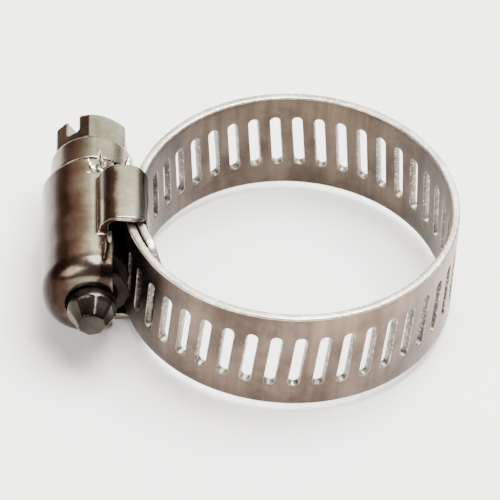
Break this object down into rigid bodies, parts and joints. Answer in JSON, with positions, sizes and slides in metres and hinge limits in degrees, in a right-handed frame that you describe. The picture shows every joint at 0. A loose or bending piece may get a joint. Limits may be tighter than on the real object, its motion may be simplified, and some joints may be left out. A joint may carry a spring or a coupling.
{
  "type": "hose clamp",
  "caption": "Worm-drive hose clamp: a perforated steel band closed round a hose by a hex-headed slotted screw in a barrel housing.",
  "frame": {"origin": "centre of the band's outer turn, halfway up the band's width", "axes": "+Z along the hose, -X towards the housing, +Y along the screw towards its hex head"},
  "size_m": [0.0354, 0.0281, 0.012],
  "materials": {
    "housing_steel": "polished, with brown heat tint and torn edges",
    "screw_steel": "turned and pickled, semi-gloss",
    "band_steel": "rolled, satin with bright slit edges"
  },
  "bodies": {
    "housing": {"housing": "housing_steel", "band_fixed_end": "band_steel"},
    "screw": {"worm_screw": "screw_steel"},
    "rear_arc": {"band_rear_arc": "band_steel"},
    "front_arc": {"band_front_arc": "band_steel"},
    "tail": {"band_tail": "band_steel"}
  },
  "joints": [
    {"name": "screw_turn", "type": "hinge", "parent": "housing", "child": "screw", "pos_m": [-0.01685, 0, 0], "axis": [0, -1, 0], "range_deg": [-360, 720]},
    {"name": "rear_flex", "type": "hinge", "parent": "housing", "child": "rear_arc", "pos_m": [-0.00999, 0.00847, 0], "axis": [0, 0, -1], "range_deg": [-2.94, 5.83]},
    {"name": "far_flex", "type": "hinge", "parent": "rear_arc", "child": "front_arc", "pos_m": [0.01393, -0.00072, 0], "axis": [0, 0, -1], "range_deg": [-3.47, 6.89]},
    {"name": "tail_flex", "type": "hinge", "parent": "front_arc", "child": "tail", "pos_m": [-0.00823, -0.01126, 0], "axis": [0, 0, -1], "range_deg": [-1.9, 3.75]}
  ],
  "couplings": [
    {"joint": "rear_flex", "follows": "screw_turn", "ratio": 0.0080248},
    {"joint": "far_flex", "follows": "screw_turn", "ratio": 0.0095024},
    {"joint": "tail_flex", "follows": "screw_turn", "ratio": 0.0051368}
  ]
}
